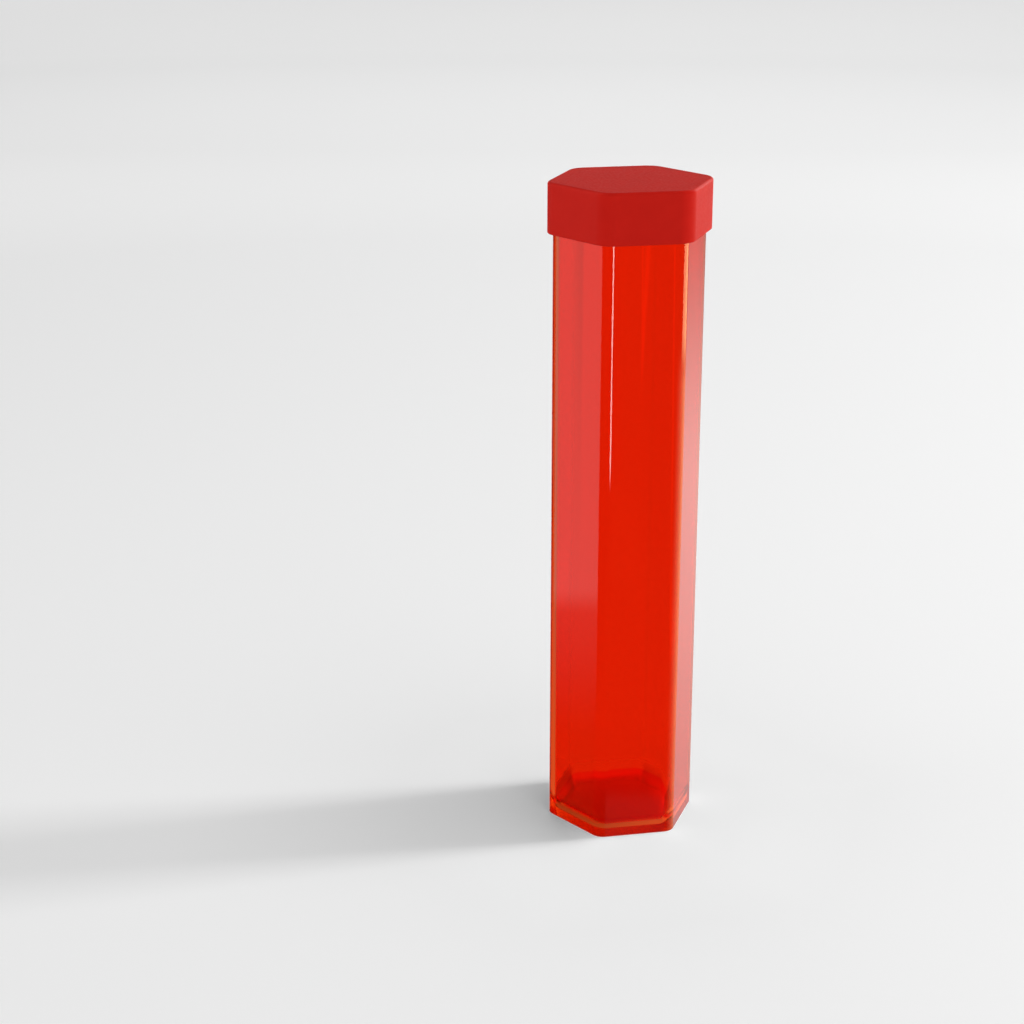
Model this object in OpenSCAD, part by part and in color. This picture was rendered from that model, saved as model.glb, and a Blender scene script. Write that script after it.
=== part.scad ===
// Hexagonal storage tube for a rolled playmat: a clear moulded tube with a
// closed foot, and a soft cap that pulls off along the axis.
// The origin is at the middle of the foot, +Z runs up the tube, and two of
// the six long corners lie on the X axis. All sizes are in millimetres.

/* [Tube] */
// Width of the tube across its flats
tube_flats = 76; // [68:0.5:84]
// Length of the tube from its foot to its rim
tube_length = 372.8; // [320:0.1:420]
// Wall thickness on the flats
wall = 2.5; // [1.8:0.1:3.5]
// Radius of the long corners, outside
tube_corner_r = 7.5; // [6:0.5:9]
// Radius of the long corners, inside
bore_corner_r = 9; // [6:0.5:12]
// Thickness of the floor that closes the foot
floor_t = 2.5; // [2:0.5:8]

/* [Cap] */
// Thickness of the cap's skirt on the flats
skirt_t = 3; // [2:0.1:4.5]
// Thickness of the cap's top, over the rim of the tube
cap_top_t = 3.2; // [2:0.1:5]
// Height of the cap from its lip to its top
cap_height = 28.3; // [24:0.1:40]
// Radius of the cap's upright corners
cap_corner_r = 12; // [10:0.5:14]
// Gap between the tube and the inside of the cap's skirt
cap_gap = 0.3; // [0.25:0.05:0.5]
// How far each grip rib stands in from the skirt
rib_h = 0.2; // [0.1:0.05:0.2]
// Width of a grip rib along the axis
rib_w = 1.6; // [1:0.1:3]
// Distance between grip ribs along the axis
rib_pitch = 6; // [4:0.5:7]

/* [Hidden] */
$fn = 96;

bore_flats = tube_flats - 2 * wall;
socket_flats = tube_flats + 2 * cap_gap;
socket_corner_r = tube_corner_r + cap_gap;
cap_flats = socket_flats + 2 * skirt_t;
cap_z = tube_length + cap_top_t - cap_height; // lip of the cap, closed
cap_depth = cap_height - cap_top_t; // depth of the cap's socket
rib_count = 3;
rib_z = 4.5; // height of the first rib over the lip
proud = 0.02; // the corner arcs stand this far over the flats, to cross them cleanly
over = 1; // run-out of a cut past an open end

// Distance from the tube's axis to the axis of a corner's arc.
function corner_axis(flats, r) = (flats / 2 - r) / cos(30);

// Outline of a hexagon with round corners, two of them on the X axis.
module round_hex(flats, r) {
    k = corner_axis(flats, r);
    polygon([for (i = [0:5]) for (s = [-30, 30])
        [k * cos(60 * i) + r * cos(60 * i + s), k * sin(60 * i) + r * sin(60 * i + s)]]);
    for (i = [0:5]) translate([k * cos(60 * i), k * sin(60 * i)]) circle(r = r + proud);
}

// A prism on that outline between two heights.
module hex_prism(flats, r, z0, z1) {
    translate([0, 0, z0]) linear_extrude(z1 - z0) round_hex(flats, r);
}

// Inside of the cap's skirt, lip at 0, with the grip ribs left standing.
module cap_socket() {
    hex_prism(socket_flats - 2 * rib_h, socket_corner_r - rib_h, -over, cap_depth);
    for (i = [0:rib_count])
        hex_prism(socket_flats, socket_corner_r,
            i == 0 ? -over : rib_z + rib_pitch * (i - 1) + rib_w,
            i == rib_count ? cap_depth : rib_z + rib_pitch * i);
}

module tube_body() {
    color([0.86, 0.12, 0.03, 0.55]) difference() {
        hex_prism(tube_flats, tube_corner_r, 0, tube_length);
        hex_prism(bore_flats, bore_corner_r, floor_t, tube_length + over);
    }
}

module cap() {
    color([0.72, 0.1, 0.08]) translate([0, 0, cap_z]) difference() {
        hex_prism(cap_flats, cap_corner_r, 0, cap_height);
        cap_socket();
    }
}

tube_body();
cap();
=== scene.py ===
import math

import bmesh
import bpy
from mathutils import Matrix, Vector


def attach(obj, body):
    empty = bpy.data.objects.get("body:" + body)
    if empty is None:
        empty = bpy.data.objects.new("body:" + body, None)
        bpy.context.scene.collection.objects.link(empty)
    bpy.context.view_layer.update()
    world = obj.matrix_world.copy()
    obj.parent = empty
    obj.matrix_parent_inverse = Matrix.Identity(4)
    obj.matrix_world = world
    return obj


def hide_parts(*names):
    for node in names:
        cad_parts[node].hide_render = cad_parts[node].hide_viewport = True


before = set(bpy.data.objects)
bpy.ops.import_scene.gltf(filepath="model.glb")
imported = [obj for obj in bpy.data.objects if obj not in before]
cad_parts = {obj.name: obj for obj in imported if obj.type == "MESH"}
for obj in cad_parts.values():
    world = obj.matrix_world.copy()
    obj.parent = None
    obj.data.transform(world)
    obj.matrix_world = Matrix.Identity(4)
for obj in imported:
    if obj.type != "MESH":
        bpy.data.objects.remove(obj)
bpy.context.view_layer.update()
scene = bpy.context.scene

# ---------------------------------------------------------------- sizes, in metres
MM = 0.001
TUBE_FLATS, TUBE_R = 76 * MM, 7.5 * MM
BORE_FLATS, BORE_R = 71 * MM, 9.0 * MM
TUBE_TOP = 372.8 * MM
FLOOR_T, FLOOR_IN, FLOOR_UP = 2.5 * MM, 7.0 * MM, 12.0 * MM
FOOT_R, RIM_R = 0.45 * MM, 0.8 * MM
CAP_FLATS, CAP_R = 82.6 * MM, 12.0 * MM
SOCKET_FLATS, SOCKET_R = 76.6 * MM, 7.8 * MM
CAP_TOP, CAP_LIP = 376.0 * MM, 347.7 * MM
CEILING = TUBE_TOP + 0.05 * MM
CAP_EDGE_R, CAP_LIP_R, LEAD_R = 1.7 * MM, 0.6 * MM, 0.6 * MM
SATIN = 0.58  # roughness of the floor inside
RIB_H, RIB_W, RIB_Z, RIB_PITCH, RIB_COUNT = 0.2 * MM, 1.6 * MM, 4.5 * MM, 6.0 * MM, 3
TURN = math.radians(10.74)  # the view's right-hand direction, from the part's +X axis, is this far clockwise


# ---------------------------------------------------------------- meshes
def ring(flats, r, arc=12, along=6):
    """Points of a hexagon with round corners, two of them on X: (x, y, outward normal x, y)."""
    k = (flats / 2 - r) / math.cos(math.pi / 6)
    points = []
    for i in range(6):
        c = math.radians(60 * i)
        for j in range(arc + 1):
            a = c + math.radians(-30 + 60 * j / arc)
            n = Vector((math.cos(a), math.sin(a)))
            points.append((k * math.cos(c) + r * n.x, k * math.sin(c) + r * n.y, n.x, n.y))
        d, here = math.radians(60 * (i + 1)), points[-1]
        there = (k * math.cos(d) + r * here[2], k * math.sin(d) + r * here[3])
        for j in range(1, along):
            t = j / along
            points.append((here[0] + (there[0] - here[0]) * t, here[1] + (there[1] - here[1]) * t, here[2], here[3]))
    return points


def loft(name, stations, arc=12, along=6):
    """A closed solid through stations (flats, corner radius, inset, z, normal out, normal up), in order. Both ends are closed flat."""
    bm = bmesh.new()
    normals, rows = [], []
    for flats, r, inset, z, n_out, n_up in stations:
        row = []
        for x, y, nx, ny in ring(flats - 2 * inset, r - inset, arc, along):
            row.append(bm.verts.new((x, y, z)))
            normals.append(Vector((nx * n_out, ny * n_out, n_up)).normalized())
        rows.append(row)
    for a, b in zip(rows, rows[1:]):
        for i in range(len(a)):
            j = (i + 1) % len(a)
            bm.faces.new((a[i], a[j], b[j], b[i]))
    bm.faces.new(tuple(reversed(rows[0])))
    bm.faces.new(tuple(rows[-1]))
    bm.verts.index_update()
    bm.normal_update()
    if bm.calc_volume(signed=True) < 0:
        bmesh.ops.reverse_faces(bm, faces=bm.faces[:])
    mesh = bpy.data.meshes.new(name)
    bm.to_mesh(mesh)
    bm.free()
    for p in mesh.polygons:
        p.use_smooth = True
    mesh.normals_split_custom_set_from_vertices(normals)
    ob = bpy.data.objects.new(name, mesh)
    scene.collection.objects.link(ob)
    return ob


def quarter(flats, r, e, z_flat, wall_up, outside, to_wall, steps):
    """A quarter round of radius e between a level face at z_flat and an upright wall. wall_up is 1 if the wall goes up from it. outside is 1 on an outer wall and -1 on an inner one. to_wall gives the order of the stations."""
    found = []
    for i in range(steps + 1):
        a = (math.pi / 2) * i / steps  # 0 on the level face
        inset = e * (1 - math.sin(a)) * outside
        z = z_flat + wall_up * e * (1 - math.cos(a))
        found.append((flats, r, inset, z, math.sin(a) * outside, -wall_up * math.cos(a)))
    return found if to_wall else found[::-1]


def hollow(flats, r, across, up, z_flat, steps):
    """The concave round between an inner wall and the floor under it, from the wall to the floor: an arc of an ellipse."""
    found = []
    for i in range(steps + 1):
        a = (math.pi / 2) * i / steps  # 0 on the wall
        found.append((flats, r, across * (1 - math.cos(a)), z_flat + up * (1 - math.sin(a)), -math.cos(a) / across, math.sin(a) / up))
    return found


def wall_rows(flats, r, z0, z1, n_out, count):
    """Stations strictly between two heights on a straight wall."""
    return [(flats, r, 0.0, z0 + (z1 - z0) * i / count, n_out, 0.0) for i in range(1, count)]


tube = loft(
    "clear_tube",
    quarter(TUBE_FLATS, TUBE_R, FOOT_R, 0.0, 1, 1, True, 6)
    + wall_rows(TUBE_FLATS, TUBE_R, FOOT_R, TUBE_TOP - RIM_R, 1.0, 16)
    + quarter(TUBE_FLATS, TUBE_R, RIM_R, TUBE_TOP, -1, 1, False, 8)
    + quarter(BORE_FLATS, BORE_R, RIM_R, TUBE_TOP, -1, -1, True, 8)
    + wall_rows(BORE_FLATS, BORE_R, TUBE_TOP - RIM_R, FLOOR_T + FLOOR_UP, -1.0, 16)
    + hollow(BORE_FLATS, BORE_R, FLOOR_IN, FLOOR_UP, FLOOR_T, 48),
    arc=20,
    along=8,
)

rib_stations, turns = [], 10
for i in range(RIB_COUNT):
    z0 = CAP_LIP + RIB_Z + RIB_PITCH * i
    for j in range(turns + 1):
        t = 2 * math.pi * j / turns
        slope = (RIB_H / 2) * math.sin(t) * 2 * math.pi / RIB_W
        rib_stations.append((SOCKET_FLATS, SOCKET_R, RIB_H / 2 * (1 - math.cos(t)), z0 + RIB_W * j / turns, -1.0, -slope))

cap = loft(
    "soft_cap",
    quarter(CAP_FLATS, CAP_R, CAP_EDGE_R, CAP_TOP, -1, 1, True, 10)
    + wall_rows(CAP_FLATS, CAP_R, CAP_TOP - CAP_EDGE_R, CAP_LIP + CAP_LIP_R, 1.0, 6)
    + quarter(CAP_FLATS, CAP_R, CAP_LIP_R, CAP_LIP, 1, 1, False, 6)
    + quarter(SOCKET_FLATS, SOCKET_R, LEAD_R, CAP_LIP, 1, -1, True, 6)
    + rib_stations
    + [(f, r, i, 2 * CEILING - z, o, -u) for f, r, i, z, o, u in hollow(SOCKET_FLATS, SOCKET_R, 0.6 * MM, 0.6 * MM, CEILING, 6)],
    arc=16,
    along=8,
)


# ---------------------------------------------------------------- materials
def new_material(name):
    mat = bpy.data.materials.new(name)
    mat.use_nodes = True
    nt = mat.node_tree
    nt.nodes.clear()
    out = nt.nodes.new("ShaderNodeOutputMaterial")
    p = nt.nodes.new("ShaderNodeBsdfPrincipled")
    nt.links.new(p.outputs["BSDF"], out.inputs["Surface"])
    return mat, nt, p, out


def noise(nt, scale, detail, rough, coords, stretch=None):
    """A noise in object coordinates: scale is in cycles per metre."""
    n = nt.nodes.new("ShaderNodeTexNoise")
    n.inputs["Scale"].default_value = scale
    n.inputs["Detail"].default_value = detail
    n.inputs["Roughness"].default_value = rough
    source = coords.outputs["Object"]
    if stretch:
        m = nt.nodes.new("ShaderNodeMapping")
        m.inputs["Scale"].default_value = stretch
        nt.links.new(source, m.inputs["Vector"])
        source = m.outputs["Vector"]
    nt.links.new(source, n.inputs["Vector"])
    return n.outputs["Fac"]


def spread(nt, fac, lo, hi, low=0.3, high=0.7):
    """fac from low..high moved to lo..hi."""
    m = nt.nodes.new("ShaderNodeMapRange")
    m.inputs["From Min"].default_value, m.inputs["From Max"].default_value = low, high
    m.inputs["To Min"].default_value, m.inputs["To Max"].default_value = lo, hi
    nt.links.new(fac, m.inputs["Value"])
    return m.outputs["Result"]


def maths(nt, op, a, b=None):
    n = nt.nodes.new("ShaderNodeMath")
    n.operation = op
    for i, v in enumerate((a, b)):
        if isinstance(v, (int, float)):
            n.inputs[i].default_value = v
        elif v is not None:
            nt.links.new(v, n.inputs[i])
    return n.outputs[0]


def across_flats(nt, coords):
    """Distance from the tube's axis, measured square to the nearest flat."""
    far = None
    for i in range(3):
        dot = nt.nodes.new("ShaderNodeVectorMath")
        dot.operation = "DOT_PRODUCT"
        dot.inputs[1].default_value = (math.cos(math.radians(30 + 60 * i)), math.sin(math.radians(30 + 60 * i)), 0)
        nt.links.new(coords.outputs["Object"], dot.inputs[0])
        d = maths(nt, "ABSOLUTE", dot.outputs["Value"])
        far = d if far is None else maths(nt, "MAXIMUM", far, d)
    return far


# Clear tinted plastic, polished: every wall that is looked through deepens the tint, so one wall is orange and two are red.
clear, nt, p, out = new_material("clear_red_plastic")
coords = nt.nodes.new("ShaderNodeTexCoord")
p.inputs["Transmission Weight"].default_value = 1.0
p.inputs["IOR"].default_value = 1.5
# The core that formed the inside was polished on its sides only, so the floor and the round above it are satin.
place = nt.nodes.new("ShaderNodeSeparateXYZ")
nt.links.new(coords.outputs["Object"], place.inputs[0])
inside = maths(nt, "MULTIPLY", spread(nt, across_flats(nt, coords), 1.0, 0.0, 35.6 * MM, 36.5 * MM), spread(nt, place.outputs[2], 0.0, 1.0, 1.0 * MM, 2.0 * MM))
satin = maths(nt, "MULTIPLY", inside, spread(nt, place.outputs[2], 1.0, 0.0, 11 * MM, 15 * MM))
# Painted shade: the floor inside, up to 7 to 8.2 mm, gets a far deeper red than the walls. It stands in for the
# red-tinted shade on the table under it, seen through the floor.
painted_floor_shade = nt.nodes.new("ShaderNodeMix")
painted_floor_shade.data_type = "RGBA"
painted_floor_shade.inputs[6].default_value = (1.0, 0.125, 0.028, 1)
painted_floor_shade.inputs[7].default_value = (1.0, 0.004, 0.004, 1)
nt.links.new(maths(nt, "MULTIPLY", inside, spread(nt, place.outputs[2], 1.0, 0.0, 7 * MM, 8.2 * MM)), painted_floor_shade.inputs[0])
nt.links.new(painted_floor_shade.outputs[2], p.inputs["Base Color"])
satin = maths(nt, "MULTIPLY", satin, spread(nt, noise(nt, 400, 3, 0.6, coords), SATIN * 0.8, SATIN * 1.2))
within = maths(nt, "MULTIPLY", nt.nodes.new("ShaderNodeNewGeometry").outputs["Backfacing"], spread(nt, place.outputs[2], 0.7, 1.0, 2.7 * MM, 3.5 * MM))
satin = maths(nt, "MULTIPLY", satin, spread(nt, within, 1.0, 0.3, 0.0, 1.0))  # less so from within the plastic, most of all on the round
nt.links.new(maths(nt, "ADD", satin, spread(nt, noise(nt, 60, 3, 0.5, coords), 0.0, 0.02)), p.inputs["Roughness"])
absorb = nt.nodes.new("ShaderNodeVolumeAbsorption")
absorb.inputs["Color"].default_value = (0.98, 0.5, 0.0, 1)
absorb.inputs["Density"].default_value = 40.0
nt.links.new(absorb.outputs["Volume"], out.inputs["Volume"])
tube.data.materials.append(clear)

# Soft-touch elastomer: matte deep red with a fine spark-eroded grain.
soft, nt, p, out = new_material("soft_touch_red")
coords = nt.nodes.new("ShaderNodeTexCoord")
tone = nt.nodes.new("ShaderNodeMix")
tone.data_type = "RGBA"
tone.inputs[6].default_value = (0.484, 0.0090, 0.0046, 1)
tone.inputs[7].default_value = (0.512, 0.0100, 0.0052, 1)
nt.links.new(spread(nt, noise(nt, 90, 4, 0.6, coords), 0, 1), tone.inputs[0])
nt.links.new(tone.outputs[2], p.inputs["Base Color"])
nt.links.new(spread(nt, noise(nt, 700, 2, 0.5, coords), 0.44, 0.54), p.inputs["Roughness"])
p.inputs["Specular IOR Level"].default_value = 0.05
bump = nt.nodes.new("ShaderNodeBump")
bump.inputs["Strength"].default_value = 0.16
bump.inputs["Distance"].default_value = 0.00005
nt.links.new(noise(nt, 2600, 2, 0.55, coords), bump.inputs["Height"])
nt.links.new(bump.outputs["Normal"], p.inputs["Normal"])
cap.data.materials.append(soft)

# ---------------------------------------------------------------- the pieces on their bodies
for ob, body, node, slot in ((tube, "tube", "tube_body", "clear_tube"), (cap, "cap", "cap", "soft_cap")):
    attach(ob, body)
    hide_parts(node)

# ---------------------------------------------------------------- stage
def seen(x, y, z):
    """A point given as right, away and up from the tube's foot, as the camera sees it."""
    return Vector((x * math.cos(TURN) + y * math.sin(TURN), -x * math.sin(TURN) + y * math.cos(TURN), z))


mesh = bpy.data.meshes.new("floor")
bm = bmesh.new()
bmesh.ops.create_grid(bm, x_segments=1, y_segments=1, size=12)
bm.to_mesh(mesh)
bm.free()
floor = bpy.data.objects.new("floor", mesh)
scene.collection.objects.link(floor)
floor_mat, nt, p, out = new_material("pale_floor")
p.inputs["Base Color"].default_value = (0.97, 0.97, 0.97, 1)
p.inputs["Roughness"].default_value = 1.0
p.inputs["Specular IOR Level"].default_value = 0.0

# Far off it fades into a lit backdrop.
coords = nt.nodes.new("ShaderNodeTexCoord")
reach = nt.nodes.new("ShaderNodeVectorMath")
reach.operation = "LENGTH"
nt.links.new(coords.outputs["Object"], reach.inputs[0])
p.inputs["Emission Color"].default_value = (1, 1, 1, 1)
onward = nt.nodes.new("ShaderNodeVectorMath")
onward.operation = "DOT_PRODUCT"
onward.inputs[1].default_value = seen(0, 1, 0)
nt.links.new(coords.outputs["Object"], onward.inputs[0])
around = maths(nt, "MULTIPLY", spread(nt, onward.outputs["Value"], 1.0, 0.0, 1.5, 2.4), spread(nt, reach.outputs["Value"], 0.0, 0.30, 1.7, 4.0))
backdrop = maths(nt, "MAXIMUM", around, spread(nt, reach.outputs["Value"], 0.0, 0.27, 3.6, 6.0))

# Close to the foot, and outside its shadow, stands in for the light that the clear walls let through.
past = across_flats(nt, coords)
passed = maths(nt, "ADD", maths(nt, "ADD", spread(nt, past, 0.06, 0.0, 38 * MM, 52 * MM), spread(nt, past, 0.06, 0.0, 38 * MM, 70 * MM)), spread(nt, past, 0.075, 0.0, 38 * MM, 140 * MM))
shade = math.radians(190.5)  # where the shadow of the low key light goes
along, aside = nt.nodes.new("ShaderNodeVectorMath"), nt.nodes.new("ShaderNodeVectorMath")
for node, way in ((along, seen(math.cos(shade), math.sin(shade), 0)), (aside, seen(-math.sin(shade), math.cos(shade), 0))):
    node.operation = "DOT_PRODUCT"
    node.inputs[1].default_value = way
    nt.links.new(coords.outputs["Object"], node.inputs[0])
strip = maths(nt, "MULTIPLY", spread(nt, aside.outputs["Value"], 0.0, 1.0, -50 * MM, -38 * MM), spread(nt, aside.outputs["Value"], 1.0, 0.0, 38 * MM, 50 * MM))
strip = maths(nt, "MULTIPLY", strip, spread(nt, along.outputs["Value"], 0.0, 1.0, 15 * MM, 40 * MM))
passed = maths(nt, "MULTIPLY", passed, spread(nt, strip, 1.0, 0.0, 0.0, 1.0))
nt.links.new(maths(nt, "ADD", backdrop, passed), p.inputs["Emission Strength"])

# Painted light: seen through the clear walls the floor shows an emission in place of its lighting, brighter to the
# right and close round the foot, and red close to the foot for the light that came through the walls.
lit = nt.nodes.new("ShaderNodeEmission")
tint = nt.nodes.new("ShaderNodeMix")
tint.data_type = "RGBA"
tint.inputs[6].default_value = (1.04, 0.01, 0.01, 1)
tint.inputs[7].default_value = (1.0, 1.0, 1.0, 1)
nt.links.new(spread(nt, across_flats(nt, coords), 0, 1, 38 * MM, 43 * MM), tint.inputs[0])
nt.links.new(tint.outputs[2], lit.inputs["Color"])
rightward = nt.nodes.new("ShaderNodeVectorMath")
rightward.operation = "DOT_PRODUCT"
rightward.inputs[1].default_value = seen(1, 0, 0)
nt.links.new(coords.outputs["Object"], rightward.inputs[0])
beam = maths(nt, "ADD", spread(nt, rightward.outputs["Value"], 0.58, 0.76, -0.25, -0.05), maths(nt, "SUBTRACT", spread(nt, rightward.outputs["Value"], 0.0, 0.13, 0.145, 0.175), spread(nt, rightward.outputs["Value"], 0.0, 0.13, 0.20, 0.26)))
beam = maths(nt, "MULTIPLY", beam, spread(nt, across_flats(nt, coords), 1.12, 1.0, 43 * MM, 65 * MM))
nt.links.new(beam, lit.inputs["Strength"])
pick = nt.nodes.new("ShaderNodeMixShader")
nt.links.new(nt.nodes.new("ShaderNodeLightPath").outputs["Is Transmission Ray"], pick.inputs[0])
nt.links.new(p.outputs[0], pick.inputs[1])
nt.links.new(lit.outputs[0], pick.inputs[2])
nt.links.new(pick.outputs[0], out.inputs["Surface"])
floor.data.materials.append(floor_mat)
floor.visible_glossy = False
floor.location.z = -0.0001


def area_light(name, where, at, width, height, power, shadow=True):
    light = bpy.data.lights.new(name, "AREA")
    light.shape = "RECTANGLE"
    light.size, light.size_y = width, height
    light.energy, light.use_shadow = power, shadow
    ob = bpy.data.objects.new(name, light)
    ob.location = where
    ob.rotation_mode = "QUATERNION"
    ob.rotation_quaternion = (at - where).to_track_quat("-Z", "Y")
    ob.visible_glossy = ob.visible_camera = ob.visible_transmission = False
    scene.collection.objects.link(ob)
    return ob


def lit_from(name, azimuth, elevation, far, width, height, power):
    """A light that looks at the tube from a direction, as the camera sees it: azimuth 0 is right, 90 away."""
    a, e = math.radians(azimuth), math.radians(elevation)
    return area_light(name, seen(math.cos(a) * math.cos(e) * far, math.sin(a) * math.cos(e) * far, math.sin(e) * far + 0.1), Vector((0, 0, 0.1)), width, height, power)


lit_from("key_low", 10.5, 18, 4.0, 0.55, 1.3, 83.0)
lit_from("key_high", 10.5, 70, 4.0, 0.55, 1.3, 14.0)
on_pieces = bpy.data.collections.new("pieces_only")  # these light the object alone
for ob in (tube, cap):
    on_pieces.objects.link(ob)
for ob in (
    lit_from("side", -25, 8, 3.0, 1.0, 0.8, 7.5),
    lit_from("front", 285, 14, 4.0, 3.0, 2.0, 31.0),
    lit_from("left", 215, 14, 4.0, 3.0, 2.0, 35.5),
):
    ob.light_linking.receiver_collection = on_pieces
on_floor = bpy.data.collections.new("floor_only")  # these light the floor alone
on_floor.objects.link(floor)
for ob in (
    area_light("fill", seen(0.3, -1.2, 5.0), seen(0.3, -1.199, 0), 5.0, 5.0, 41.0, False),
    area_light("back", seen(0, 3.4, 2.0), seen(0, 3.4, 0), 4.0, 2.0, 17.0),
    area_light("pool", seen(-1.4, -0.2, 1.6), seen(-0.9, 0.1, 0), 0.8, 0.8, 1.1),
    area_light("near", seen(0.9, -0.7, 1.7), seen(0.55, -0.1, 0), 1.4, 1.4, 3.8),
):
    ob.light_linking.receiver_collection = on_floor

# What the table under the clear foot sends back up: light that has come down through the walls.
glow_mesh = bpy.data.meshes.new("foot_glow")
bm = bmesh.new()
bm.faces.new([bm.verts.new((x, y, -0.00005)) for x, y, nx, ny in ring(TUBE_FLATS - 0.4 * MM, TUBE_R - 0.2 * MM)])
bm.to_mesh(glow_mesh)
bm.free()
glow = bpy.data.objects.new("foot_glow", glow_mesh)
scene.collection.objects.link(glow)
glow_mat = bpy.data.materials.new("foot_glow")
glow_mat.use_nodes = True
nt = glow_mat.node_tree
nt.nodes.clear()
out = nt.nodes.new("ShaderNodeOutputMaterial")
emit = nt.nodes.new("ShaderNodeEmission")
coords = nt.nodes.new("ShaderNodeTexCoord")
split = nt.nodes.new("ShaderNodeSeparateXYZ")
nt.links.new(coords.outputs["Object"], split.inputs[0])
across = across_flats(nt, coords)
tint = nt.nodes.new("ShaderNodeMix")
tint.data_type = "RGBA"
tint.inputs[6].default_value = (1.0, 0.02, 0.02, 1)
tint.inputs[7].default_value = (1.22, 1.22, 1.22, 1)
nt.links.new(spread(nt, across, 0, 1, 24 * MM, 29 * MM), tint.inputs[0])
nt.links.new(tint.outputs[2], emit.inputs["Color"])
strength = maths(nt, "ADD", spread(nt, split.outputs[0], 0.35, 0.56, -30 * MM, 14 * MM), spread(nt, split.outputs[0], 0.0, 0.8, 20 * MM, 33 * MM))
nt.links.new(strength, emit.inputs["Strength"])
nt.links.new(emit.outputs[0], out.inputs["Surface"])
glow.data.materials.append(glow_mat)

# World: soft white light all round, and for what the glossy surfaces mirror, a dark studio with white panels.
world = bpy.data.worlds.new("studio")
scene.world = world
world.cycles.sampling_method = "NONE"
world.use_nodes = True
nt = world.node_tree
nt.nodes.clear()


def step(value, lo, hi, y0=0.0, y1=1.0):
    n = nt.nodes.new("ShaderNodeMapRange")
    n.interpolation_type = "SMOOTHSTEP"
    for name, v in (("From Min", lo), ("From Max", hi), ("To Min", y0), ("To Max", y1)):
        n.inputs[name].default_value = v
    nt.links.new(value, n.inputs["Value"])
    return n.outputs["Result"]


where = nt.nodes.new("ShaderNodeTexCoord")
split = nt.nodes.new("ShaderNodeSeparateXYZ")
nt.links.new(where.outputs["Generated"], split.inputs[0])
x, y, z = split.outputs
pitch = maths(nt, "MULTIPLY", maths(nt, "ARCSINE", z), 180 / math.pi)


def away(azimuth):
    """Degrees between a direction and an azimuth, as the camera sees it: 0 is right, 90 away."""
    a = math.radians(azimuth) - TURN
    return maths(nt, "MULTIPLY", maths(nt, "ARCTAN2", maths(nt, "ADD", maths(nt, "MULTIPLY", x, -math.sin(a)), maths(nt, "MULTIPLY", y, math.cos(a))), maths(nt, "ADD", maths(nt, "MULTIPLY", x, math.cos(a)), maths(nt, "MULTIPLY", y, math.sin(a)))), 180 / math.pi)


def panel(azimuth, half, soft_edge, low, low_soft, strength):
    side = step(maths(nt, "ABSOLUTE", away(azimuth)), half, half + soft_edge, 1.0, 0.0)
    rise = step(pitch, low - low_soft, low + low_soft)
    return maths(nt, "MULTIPLY", maths(nt, "MULTIPLY", side, rise), strength)


panels = panel(180, 8, 6, -21.3, 0.4, 0.60)  # left, with a soft foot
panels = maths(nt, "ADD", panels, panel(180, 8, 6, -23.0, 2.2, 0.30))
low = step(pitch, -28, -17, 0.60, 1.0)
right_side = maths(nt, "MULTIPLY", step(away(42), 0, 8), step(away(112), -10, 10, 1.0, 0.0))
right_rise = maths(nt, "MULTIPLY", step(pitch, -18.5, -9, 1.25, 0.28), low)
steep = step(pitch, -48, -32)
panels = maths(nt, "ADD", panels, maths(nt, "MULTIPLY", maths(nt, "MULTIPLY", right_side, right_rise), steep))
under_cap = step(pitch, -11.4, -10.4, 1.0, 0.0)
panels = maths(nt, "ADD", panels, maths(nt, "MULTIPLY", panel(287.3, 4.6, 1.2, -17.9, 0.5, 9.0), under_cap))  # a strip to the front left
panels = maths(nt, "ADD", panels, maths(nt, "MULTIPLY", step(maths(nt, "ABSOLUTE", away(295)), 5, 8, 1.0, 0.0), step(pitch, -26.75, -26.25, 0.10, 0.0)))  # the table before the foot
overhead = maths(nt, "MULTIPLY", step(pitch, 0, 25, 0.0, 0.26), step(maths(nt, "ABSOLUTE", away(90)), 70, 130, 1.0, 0.0))
panels = maths(nt, "ADD", panels, overhead)
panels = maths(nt, "ADD", panels, maths(nt, "MULTIPLY", step(maths(nt, "ABSOLUTE", away(45)), 14, 26, 1.0, 0.0), step(pitch, -10, -4, 0.0, 4.1)))
panels = maths(nt, "ADD", panels, maths(nt, "MULTIPLY", step(maths(nt, "ABSOLUTE", away(180)), 20, 40, 1.0, 0.0), step(pitch, -10, -4, 0.0, 8.0)))
# A warm soft box to the right, brighter and narrower at its top.
warm = maths(nt, "MULTIPLY", maths(nt, "MULTIPLY", step(away(18), -80, 5), step(away(42), -10, 14, 1.0, 0.0)), maths(nt, "MULTIPLY", maths(nt, "MULTIPLY", maths(nt, "MULTIPLY", step(pitch, -15.6, -14.2, 1.0, 0.0), low), steep), 1.85))
warm = maths(nt, "ADD", warm, maths(nt, "MULTIPLY", panel(12, 24, 4, -14.6, 0.6, 3.9), under_cap))

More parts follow.
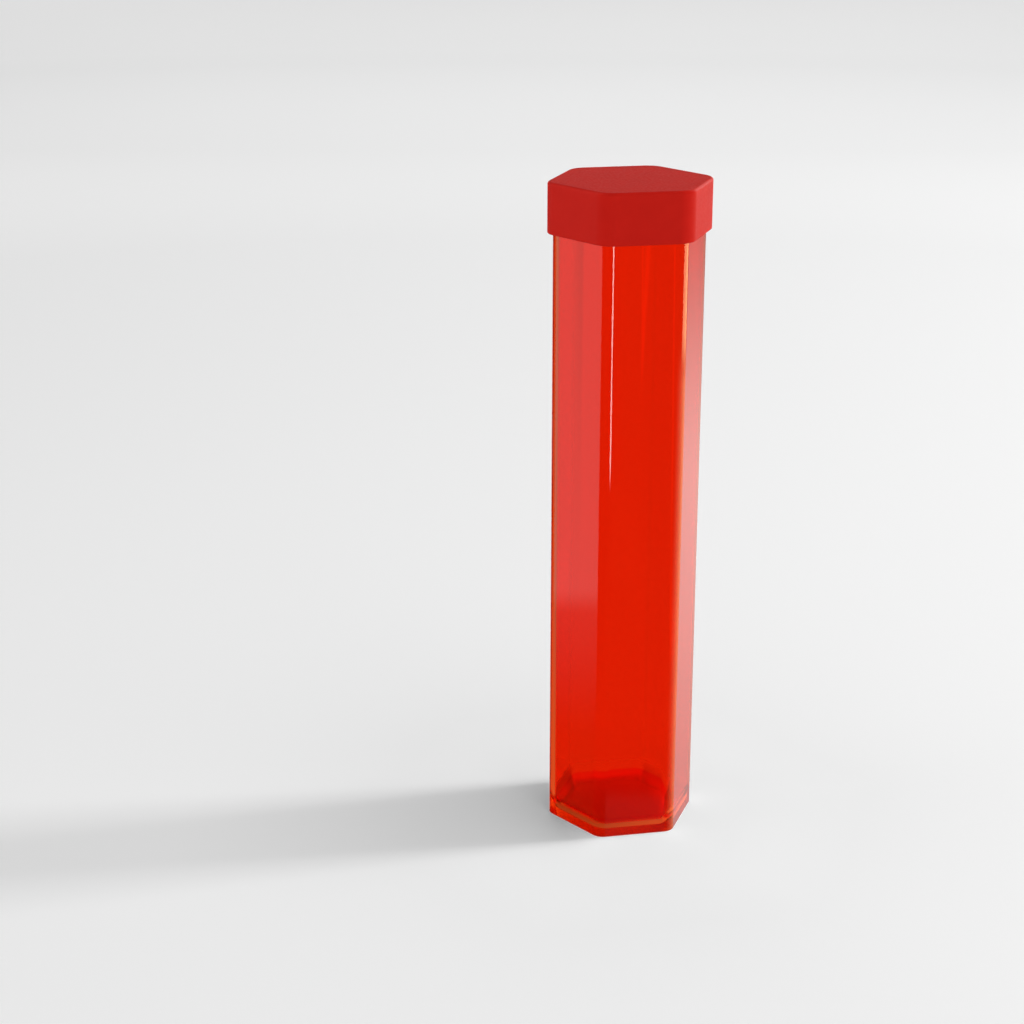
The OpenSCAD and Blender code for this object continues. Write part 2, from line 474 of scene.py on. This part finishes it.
path = nt.nodes.new("ShaderNodeLightPath").outputs
through = path["Is Transmission Ray"]
mirrored = maths(nt, "MULTIPLY", path["Is Glossy Ray"], maths(nt, "SUBTRACT", 1.0, through))
plain = maths(nt, "MULTIPLY", maths(nt, "SUBTRACT", maths(nt, "SUBTRACT", 1.0, mirrored), through), 0.417)
plain = maths(nt, "ADD", plain, maths(nt, "MULTIPLY", path["Is Camera Ray"], 0.38))  # the backdrop itself is pale
beyond = maths(nt, "MULTIPLY", through, maths(nt, "ADD", step(pitch, 35, 55, 0.86, 0.56), maths(nt, "MULTIPLY", step(maths(nt, "ABSOLUTE", away(20)), 30, 80, 0.5, 0.0), step(pitch, 25, 45, 1.0, 0.0))))
high = step(pitch, 35, 55, 1.0, 0.08)  # up through the walls there is the red cap
colour = nt.nodes.new("ShaderNodeCombineXYZ")
for i, (white_part, warm_part) in enumerate(((1.0, 1.35), (0.98, 1.0), (0.94, 0.52))):
    wall = beyond if i == 0 else maths(nt, "MULTIPLY", beyond, high)
    shine = maths(nt, "ADD", maths(nt, "MULTIPLY", panels, white_part), maths(nt, "MULTIPLY", warm, warm_part))
    nt.links.new(maths(nt, "ADD", maths(nt, "ADD", plain, wall), maths(nt, "MULTIPLY", mirrored, shine)), colour.inputs[i])
background = nt.nodes.new("ShaderNodeBackground")
nt.links.new(colour.outputs[0], background.inputs["Color"])
world_out = nt.nodes.new("ShaderNodeOutputWorld")
nt.links.new(background.outputs[0], world_out.inputs["Surface"])

# ---------------------------------------------------------------- camera and picture
camera = bpy.data.cameras.new("camera")
camera.sensor_fit = "HORIZONTAL"
camera.sensor_width, camera.lens = 36.0, 74.46
camera.clip_start, camera.clip_end = 0.05, 60
view = bpy.data.objects.new("camera", camera)
view.location = (-0.2760, -1.1099, 0.5768)
view.rotation_mode = "QUATERNION"
view.rotation_quaternion = Vector((0.1763, 0.9294, -0.3242)).to_track_quat("-Z", "Y")
scene.collection.objects.link(view)
scene.camera = view
scene.view_settings.view_transform = "Standard"
scene.view_settings.look = "None"
scene.cycles.max_bounces, scene.cycles.glossy_bounces, scene.cycles.transmission_bounces = 256, 256, 256  # light runs far along the walls of a clear part
scene.cycles.caustics_refractive = False
scene.cycles.caustics_reflective = False
